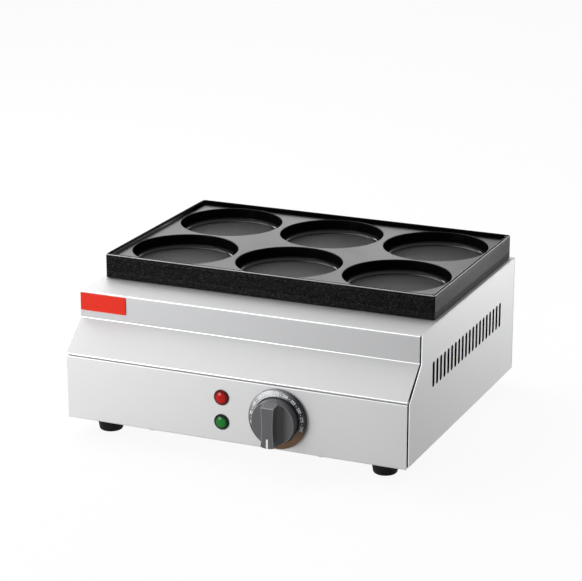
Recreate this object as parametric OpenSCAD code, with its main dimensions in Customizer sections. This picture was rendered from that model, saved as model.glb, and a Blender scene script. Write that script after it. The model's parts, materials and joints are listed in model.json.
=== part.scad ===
// Egg burger maker: a countertop griddle with six round wells in a folded stainless casing.
// The control panel faces -Y, up is +Z and the counter is z = 0. Lengths in millimetres.

/* [Wells] */
// Diameter of a well at its mouth
well_d = 99; // [90:1:115]
// Depth of a well below the deck
well_depth = 13; // [10:0.5:14]
// How much the radius of a well shrinks down to its floor
well_draft = 1.5; // [0.5:0.5:3]
// Radius between the wall and the floor of a well
well_fillet = 4; // [2:0.5:6]
// Radius of the rounded mouth of a well
well_lip = 0.8; // [0.4:0.1:1.2]
// Thickness of a well's floor
floor_t = 4.5; // [3:0.5:4.5]
// Web between two wells of one row
web_x = 7; // [5:0.5:16]
// Web between the two rows of wells
web_y = 3.5; // [3:0.5:16]

/* [Pan] */
// From the outer wells to the sides of the pan
pan_edge_x = 6.5; // [6:0.5:16]
// From the wells to the front and the rear of the pan
pan_edge_y = 4.25; // [4:0.25:16]
// Height of the pan above the casing
pan_h = 23; // [23:1:30]
// Height of the rim above the deck
rim_h = 3; // [1:0.5:3]
// Width of the rim
rim_t = 3; // [2:0.5:4]
// Thickness of the walls and the deck of the casting
pan_wall = 4; // [3:0.5:5]
// Radius of the upright corners of the pan
pan_corner = 1.5; // [0.5:0.5:3]
// Height of the shadow gap under the outer edge of the pan wall
pan_gap = 0.8; // [0.4:0.1:1.5]

/* [Casing] */
// Thickness of the casing sheets
sheet = 0.8; // [0.6:0.1:1.2]
// Inner radius of the folds
bend_r = 0.5; // [0.4:0.1:1.6]
// Width of the folded flanges
flange_w = 12; // [11:0.5:13]
// Height of the control panel
panel_h = 60; // [56:1:80]
// Height of the sloped part above the control panel
slope_h = 28; // [20:1:40]
// Height of the upright band under the shelf
band_h = 25; // [18:1:40]
// How far the band stands back from the control panel
setback = 28.5; // [20:0.5:40]
// Depth of the shelf between the band and the pan
shelf_d = 44.5; // [30:0.5:60]
// Gap between the rear of the pan and the rear of the casing
pan_rear_gap = 7; // [5:0.5:20]
// Gap between the side of the pan and the side of the casing
pan_side_gap = 3; // [2:0.5:8]
// Shadow groove between the front sheets and the side panels
groove = 5; // [1.5:0.1:5]
// Seam between the control panel and the slope
seam = 0.4; // [0.4:0.1:1.5]

/* [Vents] */
// Number of slots in each side panel
vent_count = 20; // [6:1:20]
// Distance from slot to slot
vent_pitch = 9.6; // [7:0.1:10]
// Width of a slot
vent_w = 5.5; // [3:0.5:6]
// Height of a slot
vent_h = 24; // [12:1:30]
// Height of the middle of the slots above the bottom of the casing
vent_z = 67; // [50:1:72]
// Distance from the control panel to the first slot
vent_y = 65; // [50:1:66]

/* [Controls] */
// Height of the knob and the lamps above the bottom of the casing
control_z = 30; // [28:1:32]
// Knob axis, to the right of the middle
knob_x = 45; // [40:1:70]
// Diameter of the knob
knob_d = 41; // [39:0.5:42]
// How far the knob stands out of the panel
knob_h = 25; // [22:0.5:28]
// Height of the knob's disc above the panel
knob_disc = 14; // [11:0.5:15]
// Width of the grip bar in its middle
grip_w = 10.5; // [9:0.5:14]
// Gap between the knob and the dial ring
ring_gap = 1; // [0.8:0.1:1.5]
// Width of the dial ring
ring_w = 6; // [5:0.25:6.5]
// Thickness of the dial ring
ring_t = 5; // [4:0.5:5]
// Lamp axes, from the middle
lamp_x = -10; // [-40:1:-8]
// Distance between the two lamps
lamp_pitch = 23; // [18:1:26]
// Diameter of a lamp lens
lens_d = 14.6; // [13:0.2:16]
// How far a lens stands out of the panel
lens_h = 2.8; // [2.4:0.1:6]
// Width of the badge
badge_w = 46; // [20:1:60]
// Height of the badge
badge_h = 16.5; // [10:0.5:17]
// Thickness of the badge
badge_t = 1; // [0.6:0.1:1.5]

/* [Feet] */
// Height of the bottom of the casing above the counter
foot_h = 16; // [14:0.5:24]
// Diameter of a foot at its top
foot_d = 27; // [20:0.5:28]
// Diameter of a foot at its bottom
foot_tip_d = 22; // [17:0.5:24]
// From the sides of the casing to the foot axes
foot_in_x = 29.5; // [28:0.5:40]
// From the front and the rear of the casing to the foot axes
foot_in_y = 27; // [26:1:36]

/* [Heating] */
// Diameter of the heating tubes
tube_d = 8; // [6:0.5:8.5]
// Half the distance between the two runs of a heating tube
tube_half = 22; // [19:0.5:23]
// Depth of the heat shield below the top of the casing
shield_depth = 28; // [26:1:32]
// Thickness of the insulation board
board_t = 8; // [4:0.5:9]
// Diameter of the sensing bulb
bulb_d = 6; // [4:0.5:7]
// Length of the sensing bulb
bulb_len = 66; // [40:2:70]

/* [Cable entry] */
// From the left side of the casing to the gland axis
gland_side = 65; // [55:1:75]
// Height of the gland above the bottom of the casing
gland_z = 30; // [24:1:44]
// Diameter of the cable that the gland takes
cable_d = 8; // [6:0.5:9]
// How far the gland stands out of the rear panel
gland_out = 23; // [21:0.5:28]

/* [Hidden] */
// Smoothness of round faces
$fn = 72;
// Clearance between pieces that stand side by side
fit = 0.3;
// Gap between pieces that a clamp draws together
seat = 0.1;
// Radial clearance of the turning shaft
run_fit = 0.06;
// Radial clearance of screws and studs
thread_fit = 0.1;
// Reach of cutting bodies past the face they open
past = 1;
// Segments of each fold and each rounded edge
arc_n = 6;

// Overall sizes that follow from the wells
pitch_x = well_d + web_x;
pitch_y = well_d + web_y;
pan_w = 3 * well_d + 2 * web_x + 2 * pan_edge_x;
pan_d = 2 * well_d + web_y + 2 * pan_edge_y;
body_w = pan_w + 2 * pan_side_gap;
body_d = setback + shelf_d + pan_d + pan_rear_gap;
body_h = panel_h + slope_h + band_h;
x_side = body_w / 2;
y_front = -body_d / 2 + (knob_h - gland_out) / 2;
y_rear = y_front + body_d;
y_band = y_front + setback;
pan_y = y_rear - pan_rear_gap - pan_d / 2;
z_base = foot_h;
z_panel = z_base + panel_h;
z_band = z_panel + slope_h;
z_top = z_band + band_h;
z_floor = z_base + 2 * sheet;
z_deck = z_top + pan_h - rim_h;
z_cup = z_deck - well_depth - floor_t;
x_inner = x_side - sheet - fit;

// Lower nose of the slope, whose round front is flush with the control panel
slope_a = atan2(slope_h, setback);
nose = (bend_r + sheet) * ((1 + cos(slope_a)) / sin(slope_a) - 1);

// Screws: shank and head
screw_d = 4;
head_d = 7;
head_h = 2.4;
nut_af = 7;
nut_h = 3.2;
hole_d = screw_d + 2 * fit;
drive_w = 1;
casing_screw_len = 8;
base_screw_len = 6;
pan_screw_len = 12;
base_screw_in = 8.2;
rear_screw_low = 24;
rear_screw_high = 28;
flange_c = (flange_w + sheet) / 2;
corner_gap = 2;
rear_drop = 1;

// Opening of the casing under the pan, and the fixings at its corners
cut_margin = 16;
cut_x = pan_w / 2 - cut_margin;
cut_y = pan_d / 2 - cut_margin;
boss_in = 11;
boss_d = 10;
boss_x = pan_w / 2 - boss_in;
boss_y = pan_d / 2 - boss_in;
boss_h = z_deck - pan_wall - z_top;
pan_foot = pan_wall / 2;

// Heating tubes, a little thicker in their pressed bends, with clamp bars and studs
swell = 0.1;
swell_lap = 0.3;
tube_z = z_cup - tube_d / 2 - seat;
bend_x = -(cut_x - tube_half - tube_d);
leg_in = 14;
leg_x = cut_x - leg_in;
leg_r = 12;
bar_w = 14;
bar_t = 2.5;
bar_z = tube_z - tube_d / 2 - seat - bar_t;
stud_in = 6;
stud_y = cut_y - stud_in;
stud_x = pitch_x / 2;
stud_d = 4;
stud_depth = 7;
stud_tail = 1;
bar_len = 2 * (stud_y + nut_af / 2 + stud_tail);
shield_z = z_top - shield_depth;
shield_lip = 8;
tube_hole = tube_d + 2 * fit;
insul_d = 7;
insul_len = 4;
pin_d = 3;
pin_len = 6;
leg_tail = 4;
leg_z = shield_z - leg_tail;
pin_z = leg_z - insul_len - pin_len;
link_t = 1;
link_w = 8;
bulb_z = z_cup - bulb_d / 2 - seat;
clip_t = 1;
clip_w = 10;
clip_y = bulb_d / 2 + fit + clip_t + head_d / 2 + 2 * seat;
clip_hole = 3;

// Thermostat behind the panel
thermo_z = z_base + control_z;
thermo_y = y_front + sheet;
plate_t = 1.5;
plate_w = 46;
plate_h = 34;
thermo_w = 42;
thermo_h = 32;
thermo_d = 30;
thermo_back = thermo_y + plate_t + thermo_d;
shaft_d = 6;
shaft_in = 14;
shaft_out = 18;
shaft_flat = 1.5;
shaft_room = 2;
thermo_screw = 14;
thermo_bite = 4;
blade_w = 6.3;
blade_t = 0.8;
blade_len = 8;
blade_x = 12;
knob_gap = head_h + 0.8;
capillary_d = 2;
capillary_hole = capillary_d + 2;
capillary_out = 5;
capillary_x = bulb_len / 2 + capillary_out;
capillary_z = bar_z - 2 * capillary_d;

// Knob: slope of the upper end, skirt and pointer
knob_taper = 0.5;
end_slope = 2.5;
skirt_t = 2.5;
hub_d = 14;
pointer_w = 2;
pointer_len = 9.5;
pointer_t = 0.8;
scoop_r = 150;
scoop_foot = 6;

// Dial ring around the knob: height of its cone and its broken outer edge
ring_bore = knob_d + 2 * ring_gap;
ring_d = ring_bore + 2 * ring_w;
ring_cone = 0.9;
ring_edge = 0.6;

// Badge: place in the upper left corner of the band
badge_in = 0.5;
badge_drop = bend_r + sheet;
badge_r = 1;

// Lamps
lens_edge = 1.8;
barrel_d = 10;
barrel_len = 26;
lamp_nut_d = 16;
lamp_nut_t = 3;
lamp_z = [thermo_z + lamp_pitch / 2, thermo_z - lamp_pitch / 2];
lamp_back = y_front + barrel_len;
lamp_blade_w = 2.8;
lamp_blade_x = 2.5;

// Cable gland
gland_x = gland_side - x_side;
thread_wall = 4;
hex_wall = 8;
thread_d = cable_d + 2 * thread_wall;
gland_af = cable_d + 2 * hex_wall;
gland_hex = 5;
gland_in = 12;
lock_t = 4;
seal_bore = cable_d + 0.5;
seal_d = cable_d + 4;
seal_len = 10;
thread_out = 8;
cap_wall = 2.5;
cap_cone = 4;
cap_draft = 3;

// Feet: recess for the screw head, washer and rounded bottom edge
recess_h = 7;
recess_d = 11;
washer_d = 10;
washer_t = 1;
foot_round = 2.5;

// Terminal block and earth stud on the base plate
block_w = 44;
block_d = 22;
block_h = 16;
block_back = 52;
block_shift = 4;
block_y = y_rear - block_back;
block_x = gland_x + block_shift;
pole = 13;
pole_y = 6;
pole_depth = 6;
earth_off = 48;
earth_back = 8;
earth_x = block_x + earth_off;
earth_y = block_y + earth_back;
earth_len = 16;

// Leads: diameters, the length of a bend, and the gap for a lead between the two earth nuts
wire_d = 2.6;
lamp_wire_d = 1.6;
bow = 10;
earth_gap = wire_d + 4 * seat;

// Folded sheets: an outline in Y and Z, the sheet on its right-hand side
function unit(v) = v / norm(v);
function right_of(v) = [v[1], -v[0]];
function shifted(p, d) = [
  for (i = [0 : len(p) - 1])
    let (
      a = right_of(unit(p[max(i, 1)] - p[max(i, 1) - 1])),
      b = right_of(unit(p[min(i + 1, len(p) - 1)] - p[min(i + 1, len(p) - 1) - 1]))
    )
    p[i] + d * (a + b) / (1 + a * b)
];
function fold_arc(a, b, c, r) =
  let (
    u = unit(a - b),
    v = unit(c - b),
    half = acos(u * v) / 2,
    mid = b + unit(u + v) * r / sin(half),
    s = b + u * r / tan(half) - mid,
    e = b + v * r / tan(half) - mid,
    a0 = atan2(s[1], s[0]),
    raw = atan2(e[1], e[0]) - a0,
    sweep = raw > 180 ? raw - 360 : raw < -180 ? raw + 360 : raw
  )
  [for (k = [0 : arc_n]) mid + r * [cos(a0 + sweep * k / arc_n), sin(a0 + sweep * k / arc_n)]];
function folded(p, outer) =
  let (last = len(p) - 1)
  concat(
    [p[0]],
    [
      for (i = [1 : last - 1])
        let (right_turn = cross(p[i] - p[i - 1], p[i + 1] - p[i]) < 0)
        each fold_arc(p[i - 1], p[i], p[i + 1], bend_r + (right_turn == outer ? sheet : 0))
    ],
    [p[last]]
  );
function backward(p) = [for (i = [len(p) - 1 : -1 : 0]) p[i]];

module folded_sheet(p, w) {
  outer = folded(p, true);
  inner = folded(shifted(p, sheet), false);
  rotate([90, 0, 90])
    linear_extrude(height = w, center = true)
      polygon(concat(outer, backward(inner)));
}

module box(x0, x1, y0, y1, z0, z1) {
  translate([x0, y0, z0])
    cube([x1 - x0, y1 - y0, z1 - z0]);
}

module rod(d, h) {
  cylinder(d = d, h = h);
}

module to_front(p) {
  translate(p)
    rotate([90, 0, 0])
      children();
}

module to_rear(p) {
  translate(p)
    rotate([-90, 0, 0])
      children();
}

module to_right(p) {
  translate(p)
    rotate([0, 90, 0])
      children();
}

module round_rect(w, d, r) {
  square([w - 2 * r, d], center = true);
  square([w, d - 2 * r], center = true);
  for (x = [-1, 1], y = [-1, 1])
    translate([x * (w / 2 - r), y * (d / 2 - r)])
      circle(r = r);
}

module slot(w, h) {
  square([w, h - w], center = true);
  for (s = [-1, 1])
    translate([0, s * (h - w) / 2])
      circle(d = w);
}

// Screw with its head below z = 0 and its shank above
module screw(len) {
  rod(screw_d, len);
  translate([0, 0, -head_h])
    difference() {
      rod(head_d, head_h);
      translate([0, 0, -past])
        linear_extrude(height = past + head_h / 2)
          for (a = [0, 90])
            rotate(a)
              square([head_d * 0.6, drive_w], center = true);
    }
}

module hex_nut(af, h, bore) {
  difference() {
    cylinder(d = af / cos(30), h = h, $fn = 6);
    translate([0, 0, -past])
      rod(bore, h + 2 * past);
  }
}

module ring(d, bore, h) {
  difference() {
    rod(d, h);
    translate([0, 0, -past])
      rod(bore, h + 2 * past);
  }
}

// Tube along a route: a smooth line through the points, swept with eight sides
function spline(a, b, c, d, t) =
  0.5 * (2 * b + (c - a) * t + (2 * a - 5 * b + 4 * c - d) * t * t + (3 * b - a - 3 * c + d) * t * t * t);
function smooth(p, n) =
  let (m = len(p) - 1)
  concat(
    [
      for (i = [0 : m - 1], k = [0 : n - 1])
        spline(p[max(i - 1, 0)], p[i], p[i + 1], p[min(i + 2, m)], k / n)
    ],
    [p[m]]
  );
function tangents(p, first, last) = [
  for (i = [0 : len(p) - 1])
    i == 0 ? first : i == len(p) - 1 ? last : unit(p[i + 1] - p[i - 1])
];
function side_of(t) = unit(cross(t, abs(t[2]) < 0.8 ? [0, 0, 1] : [1, 0, 0]));
function carried(t, i = 0, n = [0, 0, 1], out = []) =
  i == len(t) ? out :
  let (m = i == 0 ? side_of(t[0]) : unit(n - t[i] * (n * t[i])))
  carried(t, i + 1, m, concat(out, [m]));

module tube(route, d, steps = 3) {
  s = 8;
  m = len(route) - 1;
  p = smooth(route, steps);
  t = tangents(p, unit(route[1] - route[0]), unit(route[m] - route[m - 1]));
  n = carried(t);
  last = len(p) - 1;
  points = [
    for (i = [0 : last], k = [0 : s - 1])
      p[i] + d / 2 * (cos(360 * k / s) * n[i] + sin(360 * k / s) * cross(t[i], n[i]))
  ];
  sides = [
    for (i = [0 : last - 1], k = [0 : s - 1], h = [0, 1])
      let (a = i * s + k, b = i * s + (k + 1) % s)
      h == 0 ? [a, a + s, b + s] : [a, b + s, b]
  ];
  ends = [
    [for (k = [0 : s - 1]) k],
    [for (k = [s - 1 : -1 : 0]) last * s + k]
  ];
  polyhedron(points = points, faces = concat(sides, ends));
}

// Casing outline seen from the side, and the room that a side panel takes
front_line = [[y_front, z_base], [y_front, z_panel], [y_band, z_band], [y_band, z_top]];
function side_outline(gap, drop) =
  let (p = shifted(front_line, sheet + gap))
  [
    [p[0][0], z_base - drop], p[1], p[2], [p[3][0], z_top - sheet],
    [y_rear - sheet, z_top - sheet], [y_rear - sheet, z_base - drop]
  ];
module side_room() {
  for (m = [0, 1])
    mirror([m, 0, 0])
      translate([x_inner, 0, 0])
        rotate([90, 0, 90])
          linear_extrude(height = sheet + fit + past)
            polygon(side_outline(fit, past));
}

base_screw_at = [
  for (s = [-1, 1])
    each [
      [s * body_w / 4, y_front + base_screw_in],
      [s * body_w / 4, y_rear - base_screw_in],
      [s * (x_side - flange_c), y_front + body_d * 0.38],
      [s * (x_side - flange_c), y_front + body_d * 0.68]
    ]
];
rear_screw_at = [
  for (s = [-1, 1])
    each [
      [s * (x_side - flange_c), z_base + rear_screw_low],
      [s * (x_side - flange_c), z_top - rear_screw_high],
      [s * body_w / 4, z_top - flange_c]
    ]
];
boss_at = [for (x = [-1, 1], y = [-1, 1]) [x * boss_x, pan_y + y * boss_y]];
stud_at = [for (x = [-1, 1], y = [-1, 0, 1]) [x * stud_x, pan_y + y * stud_y]];
foot_at = [
  for (x = [-1, 1], y = [y_front + foot_in_y, y_rear - foot_in_y])
    [x * (x_side - foot_in_x), y]
];
pin_at = [
  for (r = [-1, 1], h = [-1, 1])
    [leg_x, pan_y + r * pitch_y / 2 + h * tube_half]
];

module at_points(p, z) {
  for (q = p)
    translate([q[0], q[1], z])
      children();
}

module base_holes() {
  at_points(base_screw_at, z_base - past)
    rod(hole_d, 2 * sheet + 2 * past);
}

module rear_holes() {
  for (q = rear_screw_at)
    to_front([q[0], y_rear + past, q[1]])
      rod(hole_d, 2 * sheet + 2 * past);
}

module top_cover() {
  color("silver")
    difference() {
      folded_sheet([
        [y_front + flange_w, z_panel], [y_front - nose, z_panel], [y_band, z_band], [y_band, z_top],
        [y_rear - sheet, z_top], [y_rear - sheet, z_top - flange_w]
      ], body_w);
      box(-cut_x, cut_x, pan_y - cut_y, pan_y + cut_y, z_top - sheet - past, z_top + past);
      at_points(boss_at, z_top - sheet - past)
        rod(hole_d, sheet + 2 * past);
      side_room();
      rear_holes();
    }
}

module control_panel() {
  color("gainsboro")
    difference() {
      folded_sheet([
        [y_front + flange_w, z_base], [y_front, z_base],
        [y_front, z_panel - seam], [y_front + flange_w, z_panel - seam]
      ], body_w);
      to_front([knob_x, thermo_y + past, thermo_z])
        rod(shaft_d + 2 * shaft_room, sheet + 2 * past);
      for (s = [-1, 1])
        to_front([knob_x + s * thermo_screw, thermo_y + past, thermo_z])
          rod(hole_d, sheet + 2 * past);
      for (z = lamp_z)
        to_front([lamp_x, thermo_y + past, z])
          rod(barrel_d + 2 * fit, sheet + 2 * past);
      side_room();
      base_holes();
    }
}

// Side panel with its vents and flanges, and a round upper edge
module side_panel() {
  color("lightgray")
    difference() {
      union() {
        translate([x_side - sheet, 0, 0])
          rotate([90, 0, 90])
            linear_extrude(height = sheet)
              difference() {
                polygon(side_outline(groove, 0));
                for (i = [0 : vent_count - 1])
                  translate([y_front + vent_y + i * vent_pitch, z_base + vent_z])
                    slot(vent_w, vent_h);
              }
        box(x_side - flange_w, x_side, y_front + flange_w + corner_gap, y_rear - flange_w - corner_gap,
            z_base, z_base + sheet);
        box(x_side - flange_w, x_side, y_rear - 2 * sheet, y_rear - sheet,
            z_floor + corner_gap, z_top - flange_w - corner_gap);
        box(x_side - shield_lip, x_side, pan_y - pan_d / 2, y_rear - flange_w,
            z_top - 2 * sheet, z_top - sheet);
      }
      base_holes();
      rear_holes();
      translate([x_side - sheet, 0, z_top - 2 * sheet])
        rotate([90, 0, 0])
          linear_extrude(height = 2 * body_d, center = true)
            difference() {
              square(sheet + past);
              circle(r = sheet, $fn = 32);
            }
    }
}

module right_side_panel() {
  side_panel();
}

module left_side_panel() {
  mirror([1, 0, 0])
    side_panel();
}

module rear_panel() {
  color("silver")
    difference() {
      folded_sheet([
        [y_rear, z_top - rear_drop], [y_rear, z_base], [y_rear - flange_w, z_base]
      ], body_w);
      side_room();
      rear_holes();
      base_holes();
      to_front([gland_x, y_rear + past, z_base + gland_z])
        rod(thread_d + 2 * fit, sheet + 2 * past);
    }
}

module base_plate() {
  slots = 9;
  color("darkgray")
    difference() {
      box(-x_inner, x_inner, y_front + sheet + bend_r + fit, y_rear - 2 * sheet - bend_r - fit,
          z_base + sheet, z_floor);
      base_holes();
      at_points(foot_at, z_base)
        rod(hole_d, 2 * sheet + past);
      translate([block_x, block_y, z_base])
        rod(hole_d, 2 * sheet + past);
      translate([earth_x, earth_y, z_base])
        rod(hole_d, 2 * sheet + past);
      for (i = [0 : slots - 1])
        translate([(i - (slots - 1) / 2) * 2 * vent_pitch, y_front + body_d * 0.45, z_base])
          linear_extrude(height = 2 * sheet + past)
            slot(vent_w, vent_h);
    }
}

module casing_screws() {
  color("gray")
    for (q = rear_screw_at)
      to_front([q[0], y_rear, q[1]])
        screw(casing_screw_len);
}

module base_screws() {
  color("gray")
    union() {
      at_points(base_screw_at, z_base)
        screw(base_screw_len);
      translate([block_x, block_y, z_base + sheet])
        screw(base_screw_len);
    }
}

module name_badge() {
  color("red")
    to_front([-x_side + badge_in + badge_w / 2, y_band, z_top - badge_drop - badge_h / 2])
      linear_extrude(height = badge_t)
        round_rect(badge_w, badge_h, badge_r);
}

// Well cutter: rounded mouth, drafted wall and rounded floor corner
module well() {
  r = well_d / 2;
  r_floor = r - well_draft;
  f = well_fillet;
  e = well_lip;
  profile = concat(
    [[0, -well_depth]],
    [
      for (k = [0 : arc_n])
        [r_floor - f + f * sin(90 * k / arc_n), f - well_depth - f * cos(90 * k / arc_n)]
    ],
    [
      for (k = [0 : arc_n])
        [r + e - e * cos(90 * k / arc_n), e * sin(90 * k / arc_n) - e]
    ],
    [[r + e, past], [0, past]]
  );
  rotate_extrude($fn = 96)
    polygon(profile);
}

module at_wells() {
  for (c = [-1, 0, 1], r = [-1, 1])
    translate([c * pitch_x, pan_y + r * pitch_y / 2, 0])
      children();
}

module griddle_pan() {
  color("dimgray")
    difference() {
      translate([0, pan_y, z_top])
        linear_extrude(height = pan_h)
          round_rect(pan_w, pan_d, pan_corner);
      translate([0, pan_y, z_deck])
        linear_extrude(height = rim_h + past)
          round_rect(pan_w - 2 * rim_t, pan_d - 2 * rim_t, pan_corner);
      translate([0, 0, z_deck])
        at_wells()
          well();
      difference() {
        box(-pan_w, pan_w, pan_y - pan_d, pan_y + pan_d, z_top - past, z_top + pan_gap);
        translate([0, pan_y, z_top - 2 * past])
          linear_extrude(height = pan_gap + 4 * past)
            round_rect(pan_w - 2 * pan_foot, pan_d - 2 * pan_foot, pan_corner);
      }
      difference() {
        box(-pan_w / 2 + pan_wall, pan_w / 2 - pan_wall, pan_y - pan_d / 2 + pan_wall,
            pan_y + pan_d / 2 - pan_wall, z_top - past, z_deck - pan_wall);
        translate([0, 0, z_cup])
          at_wells()
            rod(well_d + 2 * pan_wall, pan_h);
        at_points(boss_at, z_top)
          rod(boss_d, boss_h + past);
        at_points(stud_at, z_cup)
          rod(boss_d, pan_h);
      }
      at_points(boss_at, z_top - past)
        rod(screw_d + 2 * thread_fit, boss_h);
      at_points(stud_at, z_cup - past)
        rod(stud_d + 2 * thread_fit, stud_depth + stud_tail + past);
      clip_points(z_cup - past)
        rod(screw_d + 2 * thread_fit, clip_hole + past);
    }
}

module pan_screws() {
  color("gray")
    at_points(boss_at, z_top - 2 * sheet)
      screw(pan_screw_len);
}

// Hairpin tube under a row of wells, with both legs turned down through the shield
module heating_element(y) {
  color("slategray")
    union() {
      for (s = [-1, 1]) {
        to_right([bend_x - swell_lap, y + s * tube_half, tube_z])
          rod(tube_d, leg_x - leg_r - bend_x + 2 * swell_lap);
        translate([leg_x - leg_r, y + s * tube_half, tube_z - leg_r])
          rotate([90, 0, 0])
            rotate_extrude(angle = 90)
              translate([leg_r, 0])
                circle(d = tube_d + swell, $fn = 32);
        translate([leg_x, y + s * tube_half, leg_z])
          rod(tube_d, tube_z - leg_r - leg_z + swell_lap);
      }
      translate([bend_x, y, tube_z])
        rotate(90)
          rotate_extrude(angle = 180)
            translate([tube_half, 0])
              circle(d = tube_d + swell, $fn = 32);
    }
}

module front_heating_element() {
  heating_element(pan_y - pitch_y / 2);
}

module rear_heating_element() {
  heating_element(pan_y + pitch_y / 2);
}

module element_insulators() {
  color("white")
    at_points(pin_at, leg_z - insul_len)
      ring(insul_d, pin_d + 2 * thread_fit, insul_len);
}

module element_pins() {
  color("gold")
    at_points(pin_at, pin_z)
      rod(pin_d, insul_len + pin_len);
}

// Strip that joins the inner pins of the two elements in series
module element_link() {
  reach = pitch_y / 2 - tube_half;
  z = leg_z - insul_len - link_t;
  color("goldenrod")
    difference() {
      box(leg_x - link_w / 2, leg_x + link_w / 2, pan_y - reach - link_w / 2, pan_y + reach + link_w / 2,
          z, z + link_t);
      at_points(pin_at, z - past)
        rod(pin_d + 2 * thread_fit, link_t + 2 * past);
    }
}

module clamp_bar(side) {
  color("gray")
    difference() {
      box(side * stud_x - bar_w / 2, side * stud_x + bar_w / 2, pan_y - bar_len / 2, pan_y + bar_len / 2,
          bar_z, bar_z + bar_t);
      at_points(stud_at, bar_z - past)
        rod(stud_d + 2 * fit, bar_t + 2 * past);
    }
}

module left_clamp_bar() {
  clamp_bar(-1);
}

module right_clamp_bar() {
  clamp_bar(1);
}

module clamp_studs() {
  color("silver")
    at_points(stud_at, bar_z - nut_h - stud_tail)
      rod(stud_d, z_cup + stud_depth - bar_z + nut_h + stud_tail);
}

module clamp_nuts() {
  color("gray")
    at_points(stud_at, bar_z - nut_h)
      hex_nut(nut_af, nut_h, stud_d + 2 * thread_fit);
}

module heat_shield() {
  lip_z = z_top - 2 * sheet;
  color("lightsteelblue")
    difference() {
      union() {
        box(-cut_x, cut_x, pan_y - cut_y, pan_y + cut_y, shield_z, lip_z + sheet);
        box(-cut_x - shield_lip, cut_x + shield_lip, pan_y - cut_y - shield_lip, pan_y + cut_y + shield_lip,
            lip_z, lip_z + sheet);
      }
      box(-cut_x + sheet, cut_x - sheet, pan_y - cut_y + sheet, pan_y + cut_y - sheet,
          shield_z + sheet, z_top + past);
      at_points(boss_at, lip_z - past)
        rod(hole_d, sheet + 2 * past);
      at_points(pin_at, shield_z - past)
        rod(tube_hole, sheet + 2 * past);
      to_front([capillary_x, pan_y - cut_y + 2 * sheet, capillary_z])
        rod(capillary_hole, 4 * sheet);
    }
}

module insulation_board() {
  color("ivory")
    difference() {
      box(-cut_x + sheet + fit, cut_x - sheet - fit, pan_y - cut_y + sheet + fit,
          pan_y + cut_y - sheet - fit, shield_z + sheet, shield_z + sheet + board_t);
      at_points(pin_at, shield_z)
        rod(tube_hole, sheet + board_t + past);
    }
}

module thermostat_plate() {
  color("silver")
    difference() {
      box(knob_x - plate_w / 2, knob_x + plate_w / 2, thermo_y, thermo_y + plate_t,
          thermo_z - plate_h / 2, thermo_z + plate_h / 2);
      to_rear([knob_x, thermo_y - past, thermo_z])
        rod(shaft_d + 2 * run_fit, plate_t + 2 * past);
      for (s = [-1, 1])
        to_rear([knob_x + s * thermo_screw, thermo_y - past, thermo_z])
          rod(screw_d + 2 * thread_fit, plate_t + 2 * past);
    }
}

module thermostat_body() {
  y0 = thermo_y + plate_t;
  color("saddlebrown")
    difference() {
      box(knob_x - thermo_w / 2, knob_x + thermo_w / 2, y0, thermo_back,
          thermo_z - thermo_h / 2, thermo_z + thermo_h / 2);
      to_rear([knob_x, y0 - past, thermo_z])
        rod(shaft_d + 2 * run_fit, shaft_in + fit + past);
      for (s = [-1, 1])
        to_rear([knob_x + s * thermo_screw, y0 - past, thermo_z])
          rod(hole_d, 1.5 * thermo_bite + past);
    }
}

// Shaft with a flat on its outer half, where the knob sits
module thermostat_shaft() {
  color("silver")
    difference() {
      to_front([knob_x, thermo_y + plate_t + shaft_in, thermo_z])
        rod(shaft_d, plate_t + shaft_in + sheet + shaft_out);
      box(knob_x - shaft_d, knob_x + shaft_d, y_front - shaft_out - past, y_front - knob_gap,
          thermo_z + shaft_flat, thermo_z + shaft_d);
    }
}

module thermostat_screws() {
  color("gray")
    for (s = [-1, 1])
      to_rear([knob_x + s * thermo_screw, y_front, thermo_z])
        screw(sheet + plate_t + thermo_bite);
}

module thermostat_blades() {
  color("gold")
    for (s = [-1, 1])
      translate([knob_x + s * blade_x, thermo_back, thermo_z])
        translate([-blade_w / 2, 0, -blade_t / 2])
          cube([blade_w, blade_len, blade_t]);
}

module sensing_bulb() {
  color("orange")
    to_right([-bulb_len / 2, pan_y, bulb_z])
      rod(bulb_d, bulb_len);
}

// Capillary tube from the bulb, out through the shield, to the top of the thermostat
module capillary_tube() {
  front = pan_y - cut_y;
  top = thermo_z + thermo_h / 2;
  y_end = thermo_back - 1.5 * bow;
  color("peru")
    tube([
      [bulb_len / 2, pan_y, bulb_z],
      [bulb_len / 2 + 0.3 * bow, pan_y, bulb_z],
      [capillary_x, pan_y - bow, capillary_z],
      [capillary_x, pan_y - 3 * bow, capillary_z],
      [capillary_x, front + 0.6 * bow, capillary_z],
      [capillary_x, front - 0.6 * bow, capillary_z],
      [knob_x, front - 2 * bow, capillary_z - 1.4 * bow],
      [knob_x, thermo_back + 2 * bow, top + 1.5 * bow],
      [knob_x, y_end + 0.7 * bow, top + 1.5 * bow],
      [knob_x, y_end, top + 0.8 * bow],
      [knob_x, y_end, top]
    ], capillary_d);
}

module clip_points(z) {
  for (s = [-1, 1])
    translate([0, pan_y + s * clip_y, z])
      children();
}

// Saddle that holds the bulb against the pan
module bulb_clip() {
  zb = z_cup - bulb_d - 2 * seat;
  half = bulb_d / 2 + fit;
  reach = clip_y + head_d / 2 + fit;
  color("silver")
    difference() {
      union() {
        box(-clip_w / 2, clip_w / 2, pan_y - half - clip_t, pan_y + half + clip_t, zb - clip_t, z_cup);
        box(-clip_w / 2, clip_w / 2, pan_y - reach, pan_y + reach, z_cup - clip_t, z_cup);
      }
      box(-clip_w, clip_w, pan_y - half, pan_y + half, zb, z_cup + past);
      clip_points(z_cup - clip_t - past)
        rod(hole_d, clip_t + 2 * past);
    }
}

module clip_screws() {
  color("gray")
    clip_points(z_cup - clip_t)
      screw(clip_t + clip_hole - fit);
}

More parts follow.
